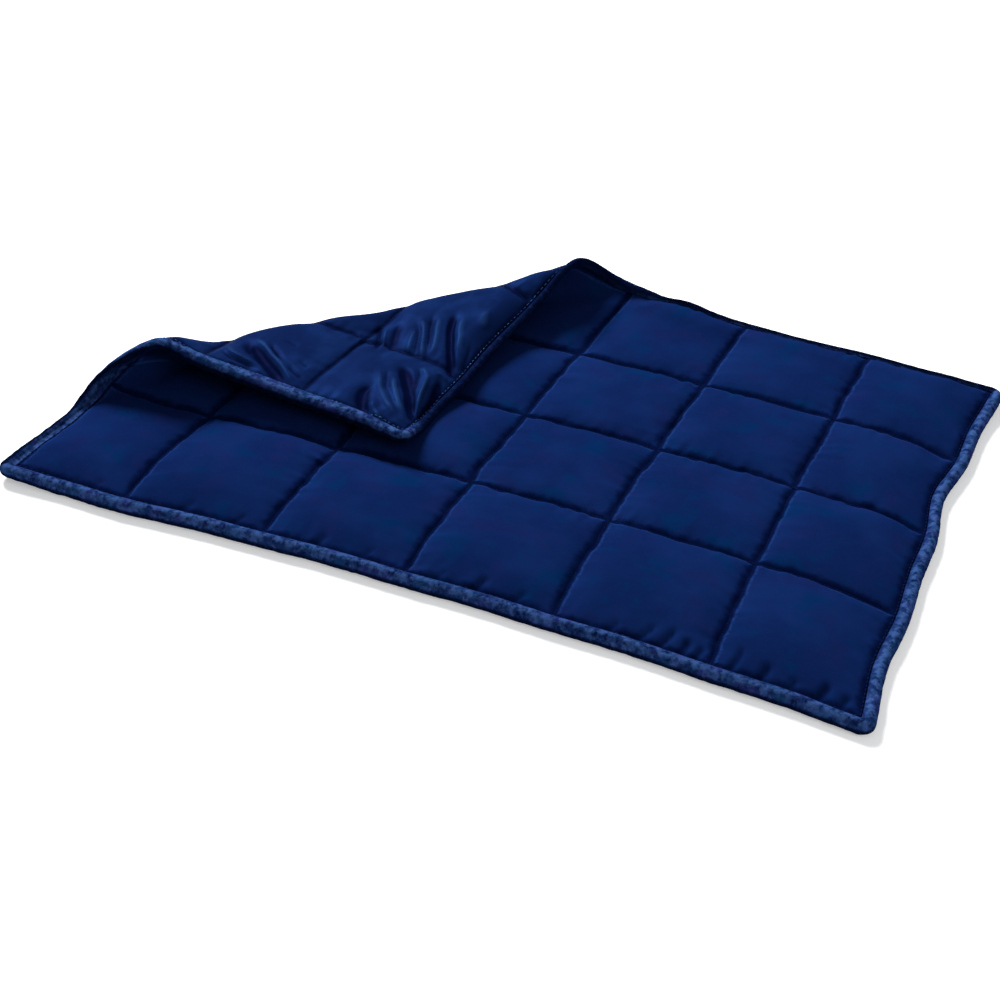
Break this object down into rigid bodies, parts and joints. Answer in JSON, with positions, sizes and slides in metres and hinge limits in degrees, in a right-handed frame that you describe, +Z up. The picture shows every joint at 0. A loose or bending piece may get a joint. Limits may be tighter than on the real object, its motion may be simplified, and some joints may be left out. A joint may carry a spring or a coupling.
{
  "type": "weighted blanket",
  "caption": "Quilted rectangular lap blanket with square filled cells and a plush binding round its rim, lying flat with its back left corner folded over towards the middle.",
  "frame": {"origin": "middle of the underside of the whole blanket as it lies, at the height of the surface it rests on", "axes": "+X along the front edge from its left end to its right end, +Y from the front edge to the back edge, +Z up"},
  "size_m": [0.7752, 0.5594, 0.069],
  "materials": {
    "quilted_cloth": "matte smooth navy cloth, quilted over filling",
    "plush_binding": "short-pile navy plush"
  },
  "bodies": {
    "root": {"quilted_body": "quilted_cloth", "binding_front": "plush_binding", "binding_right": "plush_binding", "binding_back": "plush_binding", "binding_left": "plush_binding"}
  },
  "joints": []
}
